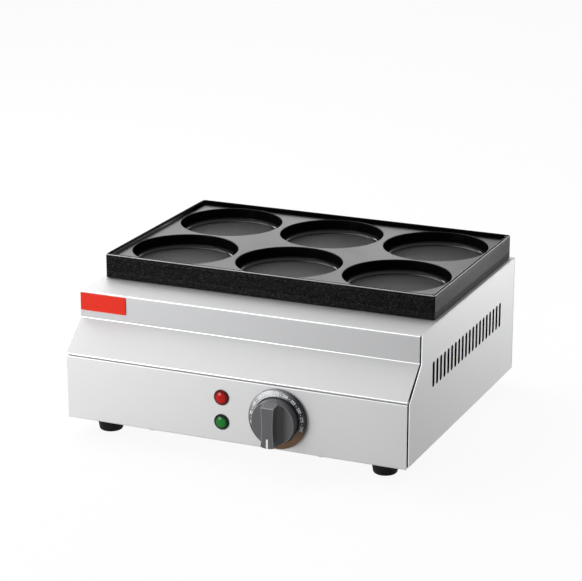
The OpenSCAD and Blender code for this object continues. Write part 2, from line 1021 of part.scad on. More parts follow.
module dial_ring() {
  rise = ring_t - ring_cone - ring_edge;
  color("darkgray")
    to_front([knob_x, y_front, thermo_z])
      difference() {
        union() {
          rod(ring_d, rise);
          translate([0, 0, rise])
            cylinder(d1 = ring_d, d2 = ring_d - 2 * ring_edge, h = ring_edge);
          translate([0, 0, rise + ring_edge])
            cylinder(d1 = ring_d - 2 * ring_edge, d2 = ring_bore, h = ring_cone);
        }
        translate([0, 0, -past])
          rod(ring_bore, ring_t + 2 * past);
      }
}

// Scoop beside the grip bar, with a round foot
module scoop() {
  translate([grip_w / 2 + scoop_r, 0, knob_disc])
    rotate_extrude($fn = 180)
      union() {
        square([scoop_r - scoop_foot, knob_h]);
        translate([0, scoop_foot])
          square([scoop_r, knob_h]);
        translate([scoop_r - scoop_foot, scoop_foot])
          circle(r = scoop_foot, $fn = 48);
      }
}

// Knob: a hollow disc with a grip bar, sloped at its upper end
module control_knob() {
  r = knob_d / 2;
  top = r - knob_taper;
  color("dimgray")
    to_front([knob_x, y_front, thermo_z])
      difference() {
        translate([0, 0, knob_gap])
          cylinder(r1 = r, r2 = top, h = knob_h - knob_gap);
        scoop();
        mirror([1, 0, 0])
          scoop();
        rotate([90, 0, 90])
          linear_extrude(height = knob_d, center = true)
            polygon([
              [top - end_slope, knob_h], [top - end_slope, knob_h + past], [r + past, knob_h + past],
              [r + past, knob_disc], [top, knob_disc]
            ]);
        difference() {
          rod(shaft_d + 2 * thread_fit, shaft_out + fit);
          translate([-shaft_d, shaft_flat + thread_fit, knob_gap])
            cube([2 * shaft_d, shaft_d, shaft_out]);
        }
        ring(knob_d - 2 * skirt_t, hub_d, knob_disc - skirt_t);
        translate([-pointer_w / 2, -r, knob_h - pointer_t])
          cube([pointer_w, pointer_len, pointer_t + past]);
      }
}

module knob_pointer() {
  w = pointer_w - thread_fit;
  color("white")
    to_front([knob_x, y_front, thermo_z])
      translate([0, 0, knob_h - pointer_t])
        intersection() {
          translate([-w / 2, -knob_d / 2, 0])
            cube([w, pointer_len - thread_fit, pointer_t]);
          rod(knob_d - 2 * knob_taper, 2 * pointer_t);
        }
}

module lamp_lens(z) {
  r = lens_d / 2;
  to_front([lamp_x, y_front, z])
    rotate_extrude()
      union() {
        square([r - lens_edge, lens_h]);
        square([r, lens_h - lens_edge]);
        intersection() {
          translate([r - lens_edge, lens_h - lens_edge])
            circle(r = lens_edge, $fn = 32);
          square([r, lens_h]);
        }
      }
}

module red_lamp_lens() {
  color("red")
    lamp_lens(lamp_z[0]);
}

module green_lamp_lens() {
  color("green")
    lamp_lens(lamp_z[1]);
}

module lamp_bodies() {
  color("black")
    for (z = lamp_z)
      to_rear([lamp_x, y_front, z])
        rod(barrel_d, barrel_len);
}

module lamp_nuts() {
  color("black")
    for (z = lamp_z)
      to_rear([lamp_x, thermo_y, z])
        ring(lamp_nut_d, barrel_d + 2 * thread_fit, lamp_nut_t);
}

module lamp_blades() {
  color("gold")
    for (z = lamp_z, s = [-1, 1])
      translate([lamp_x + s * lamp_blade_x - blade_t / 2, lamp_back, z - lamp_blade_w / 2])
        cube([blade_t, blade_len, lamp_blade_w]);
}

module terminal_block() {
  color("ivory")
    difference() {
      box(block_x - block_w / 2, block_x + block_w / 2, block_y - block_d / 2, block_y + block_d / 2,
          z_floor, z_floor + block_h);
      for (i = [-1, 0, 1], s = [-1, 1])
        translate([block_x + i * pole, block_y + s * pole_y, z_floor + block_h - pole_depth])
          rod(screw_d + 2 * thread_fit, pole_depth + past);
      translate([block_x, block_y, z_floor - past])
        rod(screw_d + 2 * thread_fit, base_screw_len + past);
    }
}

module terminal_screws() {
  color("gold")
    for (i = [-1, 0, 1], s = [-1, 1])
      translate([block_x + i * pole, block_y + s * pole_y, z_floor + block_h - pole_depth])
        rod(screw_d, pole_depth - corner_gap);
}

module earth_stud() {
  color("gold")
    translate([earth_x, earth_y, z_base + sheet])
      screw(earth_len);
}

module earth_nuts() {
  color("gold")
    translate([earth_x, earth_y, z_floor])
      for (z = [0, nut_h + earth_gap])
        translate([0, 0, z])
          hex_nut(nut_af, nut_h, screw_d + 2 * thread_fit);
}

module gland_body() {
  color("black")
    to_rear([gland_x, y_rear, z_base + gland_z])
      difference() {
        union() {
          translate([0, 0, -gland_in])
            rod(thread_d, gland_in + gland_hex + thread_out);
          cylinder(d = gland_af / cos(30), h = gland_hex, $fn = 6);
        }
        translate([0, 0, -gland_in - past])
          rod(seal_bore + 1, 2 * gland_in + gland_hex + thread_out);
        translate([0, 0, gland_hex])
          rod(seal_d + 2 * thread_fit, thread_out + past);
      }
}

module gland_seal() {
  color("darkslategray")
    to_rear([gland_x, y_rear + gland_hex, z_base + gland_z])
      ring(seal_d, seal_bore, seal_len);
}

module gland_cap() {
  cap_r = thread_d / 2 + cap_wall;
  cap_len = gland_out - gland_hex - fit;
  color("black")
    to_rear([gland_x, y_rear + gland_hex + fit, z_base + gland_z])
      difference() {
        union() {
          rod(2 * cap_r, cap_len - cap_cone);
          translate([0, 0, cap_len - cap_cone])
            cylinder(r1 = cap_r, r2 = cap_r - cap_draft, h = cap_cone);
        }
        translate([0, 0, -past])
          rod(thread_d + 2 * thread_fit, seal_len + past);
        rod(seal_bore + 1, gland_out);
      }
}

module gland_locknut() {
  color("black")
    to_front([gland_x, y_rear - sheet, z_base + gland_z])
      hex_nut(gland_af, lock_t, thread_d + 2 * thread_fit);
}

// Rubber foot with a recess for its screw
module foot(i) {
  top = z_base + sheet;
  f = foot_round;
  profile = concat(
    [[hole_d / 2, top], [hole_d / 2, recess_h], [recess_d / 2, recess_h], [recess_d / 2, 0]],
    [
      for (k = [0 : arc_n])
        [foot_tip_d / 2 - f + f * sin(90 * k / arc_n), f - f * cos(90 * k / arc_n)]
    ],
    [[foot_d / 2, top]]
  );
  color("black")
    translate([foot_at[i][0], foot_at[i][1], 0])
      rotate_extrude()
        polygon(profile);
}

module front_left_foot() {
  foot(0);
}

module rear_left_foot() {
  foot(1);
}

module front_right_foot() {
  foot(2);
}

module rear_right_foot() {
  foot(3);
}

module foot_washers() {
  color("silver")
    at_points(foot_at, recess_h - washer_t)
      ring(washer_d, hole_d, washer_t);
}

module foot_screws() {
  color("gray")
    at_points(foot_at, recess_h - washer_t)
      screw(z_floor - recess_h + washer_t + nut_h + stud_tail);
}

module foot_nuts() {
  color("silver")
    at_points(foot_at, z_floor)
      hex_nut(nut_af, nut_h, screw_d + 2 * thread_fit);
}

// Leads run a little above the base plate between their terminals
lead_z = z_floor + 0.6 * bow;
block_z = z_floor + block_h / 2;
block_front = block_y - block_d / 2;
block_rear = block_y + block_d / 2;
blade_end = thermo_back + blade_len;

module live_lead() {
  x_end = knob_x - blade_x;
  color("brown")
    tube([
      [block_x, block_front, block_z],
      [block_x, block_front - 1.2 * bow, block_z],
      [block_x + bow, block_front - 4 * bow, lead_z],
      [0, pan_y - 4 * bow, lead_z],
      [x_end - 0.4 * bow, blade_end + 3.4 * bow, lead_z + 0.4 * bow],
      [x_end, blade_end + 1.2 * bow, thermo_z],
      [x_end, blade_end, thermo_z]
    ], wire_d);
}

module neutral_lead() {
  y_end = pan_y + pitch_y / 2 + tube_half;
  color("blue")
    tube([
      [block_x + pole, block_front, block_z],
      [block_x + pole, block_front - bow, block_z],
      [block_x + 4 * bow, block_front - 2 * bow, lead_z],
      [pitch_x / 2, block_front - 1.6 * bow, lead_z],
      [leg_x - 1.6 * bow, y_end - 0.8 * bow, lead_z + 1.6 * bow],
      [leg_x, y_end, pin_z - 1.4 * bow],
      [leg_x, y_end, pin_z]
    ], wire_d);
}

module switched_lead() {
  x_start = knob_x + blade_x;
  y_end = pan_y - pitch_y / 2 - tube_half;
  color("black")
    tube([
      [x_start, blade_end, thermo_z],
      [x_start, blade_end + 1.2 * bow, thermo_z],
      [x_start + 1.6 * bow, blade_end + 3.2 * bow, lead_z + bow],
      [leg_x - 2 * bow, y_end - 1.4 * bow, lead_z + 2 * bow],
      [leg_x, y_end, pin_z - 1.4 * bow],
      [leg_x, y_end, pin_z]
    ], wire_d);
}

module earth_lead() {
  z_end = z_floor + nut_h + earth_gap / 2;
  x_start = block_x + pole;
  color("yellowgreen")
    tube([
      [x_start, block_rear, block_z],
      [x_start, block_rear + 0.8 * bow, block_z],
      [x_start + 1.4 * bow, block_rear + 0.6 * bow, block_z - 0.1 * bow],
      [earth_x - bow, earth_y, z_end],
      [earth_x - screw_d / 2, earth_y, z_end]
    ], wire_d);
}

// Two leads of each lamp, to the near side of the thermostat
module lamp_leads() {
  y_start = lamp_back + blade_len;
  x_end = knob_x - thermo_w / 2;
  y_end = thermo_back - bow;
  color("white")
    for (i = [0, 1], s = [-1, 1]) {
      up = 1 - 2 * i;
      x_start = lamp_x + s * lamp_blade_x;
      z_end = thermo_z + up * (0.4 - 0.2 * s) * bow;
      tube([
        [x_start, y_start, lamp_z[i]],
        [x_start, y_start + 0.6 * bow, lamp_z[i]],
        [lamp_x + (0.8 + 0.4 * s) * bow, y_start + (1.2 - 0.3 * s) * bow,
         lamp_z[i] - up * (0.1 + 0.3 * s) * bow],
        [x_end - 0.6 * bow, y_end, z_end],
        [x_end, y_end, z_end]
      ], lamp_wire_d, 2);
    }
}

top_cover();
control_panel();
left_side_panel();
right_side_panel();
rear_panel();
base_plate();
casing_screws();
base_screws();
name_badge();
griddle_pan();
pan_screws();
front_heating_element();
rear_heating_element();
element_insulators();
element_pins();
element_link();
left_clamp_bar();
right_clamp_bar();
clamp_studs();
clamp_nuts();
heat_shield();
insulation_board();
thermostat_plate();
thermostat_body();
thermostat_shaft();
thermostat_screws();
thermostat_blades();
capillary_tube();
sensing_bulb();
bulb_clip();
clip_screws();
dial_ring();
control_knob();
knob_pointer();
red_lamp_lens();
green_lamp_lens();
lamp_bodies();
lamp_nuts();
lamp_blades();
terminal_block();
terminal_screws();
earth_stud();
earth_nuts();
gland_body();
gland_seal();
gland_cap();
gland_locknut();
front_left_foot();
front_right_foot();
rear_left_foot();
rear_right_foot();
foot_screws();
foot_washers();
foot_nuts();
live_lead();
neutral_lead();
switched_lead();
earth_lead();
lamp_leads();
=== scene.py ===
import json
import math

import bpy
from mathutils import Matrix, Vector

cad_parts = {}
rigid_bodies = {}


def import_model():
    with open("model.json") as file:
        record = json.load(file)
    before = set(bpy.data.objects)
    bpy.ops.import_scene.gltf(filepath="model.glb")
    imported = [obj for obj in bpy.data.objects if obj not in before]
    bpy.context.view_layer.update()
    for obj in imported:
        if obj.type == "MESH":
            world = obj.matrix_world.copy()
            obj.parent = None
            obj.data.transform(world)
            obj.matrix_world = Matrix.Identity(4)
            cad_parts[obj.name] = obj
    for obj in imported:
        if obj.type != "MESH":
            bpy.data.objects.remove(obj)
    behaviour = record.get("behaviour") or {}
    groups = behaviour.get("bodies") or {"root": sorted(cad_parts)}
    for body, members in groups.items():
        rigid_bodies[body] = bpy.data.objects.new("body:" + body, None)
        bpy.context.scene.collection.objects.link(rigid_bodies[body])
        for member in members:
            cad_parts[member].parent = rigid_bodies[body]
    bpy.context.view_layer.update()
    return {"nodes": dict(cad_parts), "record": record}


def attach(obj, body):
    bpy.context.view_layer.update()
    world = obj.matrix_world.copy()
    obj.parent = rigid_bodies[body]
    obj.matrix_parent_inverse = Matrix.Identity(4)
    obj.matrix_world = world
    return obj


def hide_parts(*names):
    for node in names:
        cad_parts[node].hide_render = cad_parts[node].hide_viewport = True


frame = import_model()
nodes = frame["nodes"]
slots = {part["node"]: part["material_slot"] for part in frame["record"]["subparts"]}

# Places and sizes on the object, in millimetres as in the part's source

MM = 0.001
HALF_WIDTH = 165
CASING_MIDDLE = Vector((0, 0, 70))
PANEL_Y, PANEL_TOP_Z = -144, 75.6
NOSE_Y, NOSE_Z = -143.8, 77.9
BAND_Y, BAND_FOOT_Z, SHELF_Z = -115.5, 104, 129
BAND_SHADE_END_Y = -100
VENTS_Y, VENTS_Z = (-90, 120), (65, 115)
PAN_Y, PAN_HALF_WIDTH, PAN_HALF_DEPTH, RIM_WIDTH = 34, 162, 105, 3
PAN_FOOT_Z, PAN_CORNER = 137, 2
DECK_Z, WELL_DEPTH = 149, 13
KNOB_X, KNOB_Z, KNOB_DISC_Y = 45, 46, -158
POINTER_HALF, GRIP_HALF, GRIP_END = 1.2, 9, 18.4
RING_IN, RING_OUT = (21.5, -149.0), (26.9, -148.1)
LAMP_X, RED_LAMP_Z, GREEN_LAMP_Z = -10, 57.5, 34.5
LENS_R, LENS_EDGE, LENS_H = 7.3, 0.6, 2.8
NEAR = 0.1

# Bends of the front sheets along X: their Y and Z, and how far the polish and its painted highlight
# reach
FOLDS = [
    (BAND_Y, SHELF_Z, 0.7),
    (BAND_Y, BAND_FOOT_Z, 0.38),
    (NOSE_Y, NOSE_Z, 0.28),
    (PANEL_Y, PANEL_TOP_Z, 0.65),
]

# Tones of the sheet steel, how metallic its satin is, and its roughness. The band's tone is painted
# shade; the polished tone is polish with a painted highlight on the folds and the side panels' edges
STEEL = (0.62, 0.622, 0.628)
BAND_PAINTED_SHADE_STEEL = (0.48, 0.483, 0.49)
MILL_STEEL = (0.55, 0.56, 0.57)
POLISH_AND_HIGHLIGHT_STEEL = (0.92, 0.92, 0.925)
SATIN, SHEET_ROUGH, POLISH_ROUGH = 0.35, 0.5, 0.3


# Shader values: a socket with arithmetic

class Value:
    """A shader socket. Arithmetic on it adds Math nodes, and make() adds any other node."""

    def __init__(self, tree, socket):
        self.tree = tree
        self.socket = socket

    def make(self, kind, settings=None, sockets=None, out=0):
        """A node of any kind. Its settings come first, then the values or links of its sockets."""
        node = self.tree.nodes.new(kind)
        for name, value in (settings or {}).items():
            setattr(node, name, value)
        for name, value in (sockets or {}).items():
            plug(self.tree, node.inputs[name], value)
        return Value(self.tree, node.outputs[out])

    def math(self, operation, *others):
        inputs = dict(enumerate((self,) + others))
        return self.make("ShaderNodeMath", {"operation": operation}, inputs)

    def __add__(self, other):
        return self.math("ADD", other)

    def __mul__(self, other):
        return self.math("MULTIPLY", other)

    def __sub__(self, other):
        return self.math("SUBTRACT", other)

    def __rsub__(self, other):
        return self * -1 + other

    __radd__ = __add__
    __rmul__ = __mul__

    def ramp(self, low, high):
        """0 below low, 1 above high, smooth between."""
        sockets = {"Value": self, "From Min": low, "From Max": high}
        return self.make("ShaderNodeMapRange", {"interpolation_type": "SMOOTHSTEP"}, sockets)

    def blend(self, a, b):
        """Colour a where this is 0 and b where it is 1."""
        sockets = {"Factor": self, 6: a, 7: b}
        return self.make("ShaderNodeMix", {"data_type": "RGBA"}, sockets, out=2)


def plug(tree, socket, value):
    """Links a Value to a socket, or sets a constant there. A colour gets its alpha."""
    if isinstance(value, Value):
        tree.links.new(value.socket, socket)
    else:
        socket.default_value = (*value, 1) if socket.type == "RGBA" else value


def grey(level):
    return level, level, level


class Paint:
    """A material with a Principled shader, and object coordinates to vary it by."""

    def __init__(self, name, colour, **constants):
        self.material = bpy.data.materials.new(name)
        self.material.use_nodes = True
        self.material.diffuse_color = (*colour, 1)
        self.tree = self.material.node_tree
        self.shader = self.tree.nodes["Principled BSDF"]
        place = self.tree.nodes.new("ShaderNodeTexCoord")
        self.place = Value(self.tree, place.outputs["Object"])
        self.set(Base_Color=colour, **constants)

    def set(self, **sockets):
        """Sets or links sockets of the shader, with _ for the spaces in their names."""
        for name, value in sockets.items():
            plug(self.tree, self.shader.inputs[name.replace("_", " ")], value)

    def noise(self, scale, detail=3.0, rough=0.55, stretch=(1, 1, 1)):
        """Noise from 0 to 1, drawn out along an axis whose stretch is below 1."""
        spread = self.place.make("ShaderNodeMapping", None, {"Vector": self.place, "Scale": stretch})
        sockets = {"Vector": spread, "Scale": scale, "Detail": detail, "Roughness": rough}
        return self.place.make("ShaderNodeTexNoise", None, sockets)

    def bump(self, height, strength, depth):
        """Relief of a depth in millimetres."""
        sockets = {"Height": height, "Strength": strength, "Distance": depth * MM}
        self.set(Normal=self.place.make("ShaderNodeBump", None, sockets))

    def along(self, axis, origin=0):
        """Object coordinate on one axis (0 = X, 1 = Y, 2 = Z), from an origin in millimetres."""
        split = self.place.make("ShaderNodeSeparateXYZ", None, {"Vector": self.place}, out=axis)
        return split - origin * MM

    def around(self, colour, spread, value):
        """A colour that swings about a mean by a share, with the value from 0 to 1."""
        low = tuple(c * (1 - spread) for c in colour)
        high = tuple(min(1, c * (1 + spread)) for c in colour)
        return value.blend(low, high)


def length(a, b):
    """The distance that is a on one axis and b on another."""
    return (a * a + b * b).math("SQRT")


# Materials

def brush(paint, colour, axis, rough):
    """Fine lines along one axis. Gives the tone and the roughness that they make."""
    stretch = [1.0, 1.0, 1.0]
    stretch[axis] = 0.012
    lines = paint.noise(2600, 4.0, 0.6, stretch)
    cloud = paint.noise(9, 2.0)
    paint.bump(lines, 0.12, 0.05)
    tone = paint.around(colour, 0.05, lines * 0.7 + cloud * 0.3)
    return tone, lines * 0.1 + cloud * 0.06 + (rough - 0.08)


def brushed_sheet(name, colour, axis, rough):
    """Satin steel sheet, brushed along one axis."""
    paint = Paint(name, colour, Metallic=SATIN)
    tone, worn = brush(paint, colour, axis, rough)
    paint.set(Base_Color=tone, Roughness=worn)
    return paint.material


def folded_sheet():
    """Satin steel of the casing, brushed along X: painted shade darkens the upright band, and polish
    with a painted highlight runs along the folds.
    """
    paint = Paint("steel_brushed_across", STEEL)
    tone, worn = brush(paint, STEEL, 0, SHEET_ROUGH)
    # Painted shade: the upright band at the front gets a darker tone
    front = 1 - paint.along(1, BAND_SHADE_END_Y).ramp(0, 10 * MM)
    above = paint.along(2, BAND_FOOT_Z).ramp(-0.2 * MM, 0.4 * MM)
    below = 1 - paint.along(2, SHELF_Z).ramp(-0.7 * MM, -0.1 * MM)
    tone = (front * above * below).blend(tone, BAND_PAINTED_SHADE_STEEL)
    # Polish and painted highlight: a lighter, more metallic tone along each fold
    flat = 1
    for y, z, reach in FOLDS:
        away = length(paint.along(1, y), paint.along(2, z))
        flat = away.ramp((reach - NEAR) * MM, (reach + NEAR) * MM) * flat
    paint.set(Base_Color=flat.blend(POLISH_AND_HIGHLIGHT_STEEL, tone))
    paint.set(Roughness=flat * (worn - POLISH_ROUGH) + POLISH_ROUGH)
    paint.set(Metallic=1 - flat * (1 - SATIN))
    return paint.material


def moulded(name, colour, rough, grain=900, depth=0.05, **constants):
    """Plastic, rubber, paint or ceramic with an even grain, of a depth in millimetres."""
    paint = Paint(name, colour, **constants)
    fine = paint.noise(grain, 2.0)
    cloud = paint.noise(30)
    paint.set(Base_Color=paint.around(colour, 0.12, fine * 0.5 + cloud * 0.5))
    paint.set(Roughness=cloud * 0.12 + fine * 0.06 + (rough - 0.09))
    paint.bump(fine, 0.35, depth)
    return paint.material


def metal(name, colour, rough):
    """Plain metal with light marks."""
    paint = Paint(name, colour, Metallic=1.0)
    marks = paint.noise(400, 4.0)
    paint.set(Base_Color=paint.around(colour, 0.1, marks))
    paint.set(Roughness=marks * 0.16 + (rough - 0.08))
    paint.bump(marks, 0.1, 0.1)
    return paint.material


def pan_coat():
    """Dark non-stick coat of the griddle pan.

    It has a sheen on the deck, is dull on the walls and the rim, sandy on the well floors and glossy
    in their fillets, where it ran together."""
    black = (0.003, 0.003, 0.0032)
    deck_tone = (0.014, 0.014, 0.0145)
    fillet_tone = (0.022, 0.022, 0.023)
    paint = Paint("pan_coat", black, Specular_IOR_Level=0.0)
    sand = paint.noise(1300, rough=0.7)
    cloud = paint.noise(22, 4.0)
    flecks = paint.noise(1500, 2.0).ramp(0.48, 0.72)
    dull = flecks.blend((0.006, 0.006, 0.0063), (0.045, 0.045, 0.047))
    sandy = flecks.blend((0.035, 0.035, 0.0355), (0.23, 0.23, 0.235))

    facing = paint.place.make("ShaderNodeNewGeometry", out=1)
    level = facing.make("ShaderNodeSeparateXYZ", None, {"Vector": facing}, out=2).ramp(0.1, 0.6)
    beside = paint.along(0).math("ABSOLUTE") - PAN_HALF_WIDTH * MM
    before = paint.along(1, PAN_Y).math("ABSOLUTE") - PAN_HALF_DEPTH * MM
    outer = beside.math("MAXIMUM", before).ramp(-0.4 * MM, -0.1 * MM)
    above_floor, above_deck = paint.along(2, DECK_Z - WELL_DEPTH), paint.along(2, DECK_Z)
    floor = 1 - above_floor.ramp(0, 0.3 * MM)
    fillet = (1 - floor) * (1 - above_floor.ramp(3.6 * MM, 4.4 * MM))
    deck = above_deck.ramp(-2 * MM, -1 * MM)
    rim = above_deck.ramp(2.2 * MM, 2.6 * MM)

    plain = (deck * level).blend(black, deck_tone)
    inner = floor.blend(fillet.blend(plain, fillet_tone), sandy)
    paint.set(Base_Color=outer.blend(inner, dull))
    paint.set(Metallic=(level * (1 - rim) * (1 - floor * 0.5)).math("MAXIMUM", outer * 0.5))
    paint.set(Roughness=cloud * 0.1 + sand * 0.08 + deck * 0.12 + floor * 0.34 + 0.08)
    paint.bump(sand, 0.22, 0.2)
    return paint.material


def lamp_lens(name, z, face, rim):
    """Clear coloured cap, bright in the middle, with painted shade darkening it towards its edge."""
    paint = Paint(name, face, Roughness=0.07, Specular_IOR_Level=0.17)
    radius = length(paint.along(0, LAMP_X), paint.along(2, z))
    cells = paint.noise(900, 2.0)
    # Painted shade: the tone darkens towards the cap's edge
    edge = (radius + cells * 0.8 * MM).ramp(4.2 * MM, 6.2 * MM)
    mottled = cells.blend(tuple(c * 0.75 for c in face), face)
    paint.set(Base_Color=edge.blend(mottled, rim))
    paint.bump(cells, 0.05, 0.1)
    return paint.material


def turned_ring():
    """Satin ring turned on a lathe, with painted light: a painted highlight at its upper left, painted
    shade at its right and a painted brownish reflection below.
    """
    # Painted light: a highlight tone, a shade tone and a brownish reflection tone
    light, dark, warm = (0.21, 0.213, 0.22), (0.03, 0.031, 0.034), (0.12, 0.072, 0.045)
    paint = Paint("ring_turned_painted_light", light, Metallic=1.0)
    x, z = paint.along(0, KNOB_X), paint.along(2, KNOB_Z)
    angle = z.math("ARCTAN2", x)
    painted_highlight_side = (angle - math.radians(128)).math("COSINE").ramp(0.1, 0.9)
    painted_reflection_side = (angle - math.radians(-62)).math("COSINE").ramp(0.55, 0.95)
    circles = (length(x, z) * 9000).math("SINE")
    paint.set(Base_Color=painted_reflection_side.blend(painted_highlight_side.blend(dark, light), warm))
    paint.set(Roughness=circles * 0.03 + paint.noise(300) * 0.1 + 0.27)
    paint.bump(circles, 0.06, 0.05)
    return paint.material


steel_along = brushed_sheet("steel_brushed_along", STEEL, 1, SHEET_ROUGH)
# Polished steel on the side panels' rounded edges: polish with a painted highlight
steel_edge_painted_highlight = metal("steel_edge_painted_highlight", POLISH_AND_HIGHLIGHT_STEEL, POLISH_ROUGH)
# Painted shade: the inner faces of the casing sheets get a near-black tone
steel_inside_painted_shade = metal("steel_painted_shade_inside", grey(0.03), 0.75)
# Painted shade: the walls of the vent slots get a near-black tone
steel_vent_painted_shade = metal("steel_vent_wall_painted_shade", grey(0.02), 0.7)
# Heat tint and painted shade: a dark tone for the heat shield inside the casing
steel_heat_tint_and_shade = metal("steel_heat_tint_and_painted_shade", (0.05, 0.047, 0.044), 0.5)
# Painted highlight: a light grey for the rounded rim edges and corners of the pan
coat_painted_highlight = moulded("pan_coat_painted_highlight", grey(0.45), 0.35)
# Painted highlight: a lighter plastic for the rounded front edges of the knob
knob_painted_highlight = moulded("knob_painted_highlight", (0.26, 0.262, 0.268), 0.35)
WIRES = {
    "wire_brown": (0.18, 0.07, 0.03),
    "wire_blue": (0.03, 0.1, 0.45),
    "wire_black": grey(0.02),
    "wire_green": (0.25, 0.45, 0.04),
    "wire_white": (0.8, 0.8, 0.77),
}
finish = {
    "casing_steel": folded_sheet(),
    "base_steel": brushed_sheet("steel_mill", MILL_STEEL, 1, 0.45),
    "fastener_steel": metal("steel_plated", (0.6, 0.6, 0.61), 0.3),
    "element_steel": metal("steel_heat_tinted", (0.3, 0.27, 0.24), 0.42),
    "pan_coating": pan_coat(),
    "badge_red": moulded("red_enamel", (0.78, 0.026, 0.01), 0.4, depth=0.04, Specular_IOR_Level=0.12),
    "ring_metal": turned_ring(),
    "knob_plastic": moulded(
        "knob_plastic", (0.13, 0.131, 0.136), 0.32, 2400, 0.1, Specular_IOR_Level=0.2
    ),
    "pointer_white": moulded("pointer_white", (0.93, 0.93, 0.92), 0.5, 1200, 0.04),
    # The last colour of each lens is the painted shade at its edge
    "lens_red": lamp_lens("lens_red", RED_LAMP_Z, (0.6, 0.004, 0.002), (0.12, 0.001, 0.001)),
    "lens_green": lamp_lens("lens_green", GREEN_LAMP_Z, (0.01, 0.23, 0.025), (0.001, 0.012, 0.003)),
    "black_plastic": moulded("black_plastic", (0.02, 0.02, 0.021), 0.5, 1800, 0.1),
    "brown_plastic": moulded("brown_plastic", (0.12, 0.05, 0.025), 0.45, 1200, 0.1),
    "ceramic": moulded("ceramic", (0.75, 0.71, 0.62), 0.45),
    "board": moulded("fibre_board", (0.75, 0.71, 0.62), 0.9, 500, 0.4),
    "brass": metal("brass", (0.78, 0.58, 0.27), 0.3),
    "copper": metal("copper", (0.78, 0.42, 0.26), 0.34),
    "rubber": moulded("rubber", (0.007, 0.007, 0.0075), 0.68, 1400, 0.15, Specular_IOR_Level=0.12),
}
for name, colour in WIRES.items():
    finish[name] = moulded(name, colour, 0.5)
for name, node in nodes.items():
    node.data.materials.clear()
    # The heat shield gets heat tint, darkened further as painted shade
    node.data.materials.append(steel_heat_tint_and_shade if name == "heat_shield" else finish[slots[name]])


# Modelling helpers

MERGE = 0.02
SHARP = math.radians(30)
FLAT = math.radians(0.3)
UPRIGHT = Matrix.Rotation(math.radians(90), 4, "X")


def deselect_all():
    bpy.ops.object.select_all(action="DESELECT")


def select_only(piece):
    deselect_all()
    piece.select_set(True)
    bpy.context.view_layer.objects.active = piece


def paint_with(piece, *materials):
    piece.data.materials.clear()
    for material in materials:
        piece.data.materials.append(material)


def hand_over(piece, name, body, slot, *replaced):
    """Names a finished piece and lets it ride on its body. Its slot is not used."""
    piece.name = name
    piece.data.name = name
    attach(piece, body)
    if replaced:
        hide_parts(*replaced)


def set_down(piece, spot, turn):
    """Turns a piece made at the origin, moves it to a spot in mm, and applies both to its mesh."""
    piece.matrix_world = Matrix.Translation(Vector(spot) * MM) @ turn
    select_only(piece)
    bpy.ops.object.transform_apply(location=True, rotation=True, scale=True)


def keep_edges(piece, where):
    """Of the selected edges, keeps those whose middle, in mm, passes a test."""
    bpy.ops.object.mode_set(mode="OBJECT")
    points = piece.data.vertices
    for element in [*points, *piece.data.polygons]:
        element.select = False
    for line in piece.data.edges:
        first, last = (points[i].co for i in line.vertices)
        line.select = line.select and where((first + last) / (2 * MM))
    bpy.ops.object.mode_set(mode="EDIT")


def finished(node, width, segments=2, body="cooker", material=None, edge=None, where=None):
    """A copy of a CAD piece, merged, rounded along its sharp edges and shaded smooth.

    The rounding has a width in millimetres. It may have a finish of its own, here always a lighter tone
    that paints a highlight along it, and may be kept to edges whose middle passes a test."""
    slot = slots[node]
    material = material or finish[slot]
    select_only(nodes[node])
    bpy.ops.object.duplicate()
    piece = bpy.context.view_layer.objects.active
    bpy.ops.object.parent_clear(type="CLEAR_KEEP_TRANSFORM")
    paint_with(piece, material, edge or material)
    bpy.ops.object.mode_set(mode="EDIT")
    bpy.ops.mesh.select_mode(type="EDGE")
    bpy.ops.mesh.select_all(action="SELECT")
    bpy.ops.mesh.remove_doubles(threshold=MERGE * MM)
    bpy.ops.mesh.dissolve_limited(angle_limit=FLAT)
    bpy.ops.mesh.select_all(action="DESELECT")
    bpy.ops.mesh.edges_select_sharp(sharpness=SHARP)
    if where:
        keep_edges(piece, where)
    bpy.ops.mesh.bevel(
        offset=width * MM, segments=segments, affect="EDGES", clamp_overlap=False, material=1
    )
    bpy.ops.object.mode_set(mode="OBJECT")
    select_only(piece)
    bpy.ops.object.shade_smooth_by_angle(angle=SHARP)
    bpy.ops.object.modifier_add(type="WEIGHTED_NORMAL")
    piece.modifiers[-1].keep_sharp = True
    bpy.ops.object.modifier_apply(modifier=piece.modifiers[-1].name)
    hand_over(piece, node + "_finished", body, slot, node)
    return piece


def stain(piece, material, where):
    """Gives the faces whose middle, in mm, and normal pass a test a finish of their own."""
    piece.data.materials.append(material)
    for face in piece.data.polygons:
        if where(face.center / MM, face.normal):
            face.material_index = len(piece.data.materials) - 1


# Casing, griddle pan, badge, knob, dial ring and feet: the CAD pieces with finished edges

def at_side(p):
    """At the left or the right end of the casing."""
    return abs(p.x) > HALF_WIDTH - NEAR


def faces_in(p, normal):
    """On the inner side of a casing sheet."""
    return normal.dot(CASING_MIDDLE - p) > 0


def by_vents(p):
    return VENTS_Y[0] < p.y < VENTS_Y[1] and VENTS_Z[0] < p.z < VENTS_Z[1]


def on_side_outline(p):
    return at_side(p) and not by_vents(p)


def in_vent(p, normal):
    return by_vents(p) and abs(normal.x) < 0.5


def at_pan_corner(p):
    """On the upright corners of the pan, above its foot."""
    by_side = abs(p.x) > PAN_HALF_WIDTH - PAN_CORNER
    by_front_or_rear = abs(p.y - PAN_Y) > PAN_HALF_DEPTH - PAN_CORNER
    return by_side and by_front_or_rear and p.z > PAN_FOOT_Z


